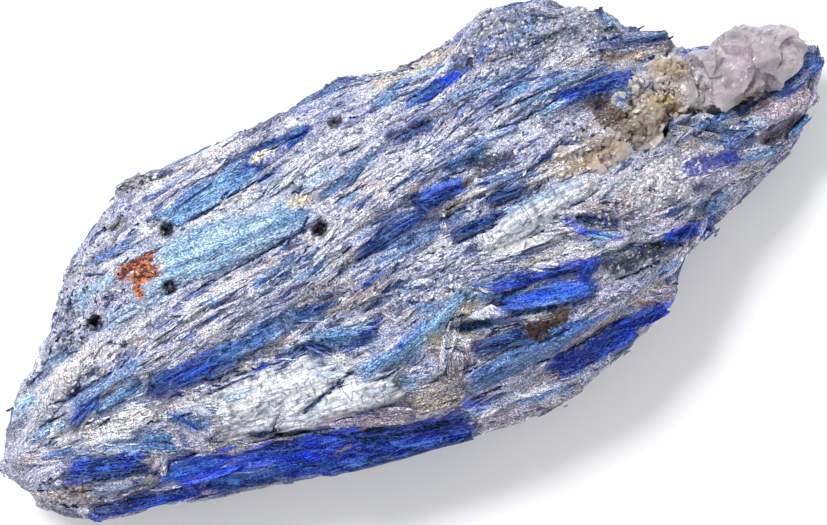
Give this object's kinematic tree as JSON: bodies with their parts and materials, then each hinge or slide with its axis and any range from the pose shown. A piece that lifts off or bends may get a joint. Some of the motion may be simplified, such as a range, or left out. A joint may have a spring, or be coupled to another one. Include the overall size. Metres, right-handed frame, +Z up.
{
  "type": "kyanite blade cluster",
  "caption": "Hand specimen of intergrown blue kyanite blades with a milky, iron-stained quartz mass at one end; lies on its flattest side.",
  "frame": {"origin": "under the middle of the specimen's box, on the surface that it rests on", "axes": "+X along the blades towards the quartz end, +Y across them, +Z up from the resting side to the bladed upper face"},
  "size_m": [0.1212, 0.0512, 0.0296],
  "materials": {
    "kyanite": "pearly to glassy on blades, matt where broken",
    "quartz": "milky, vitreous"
  },
  "bodies": {
    "root": {"kyanite_blades": "kyanite", "quartz": "quartz"}
  },
  "joints": []
}
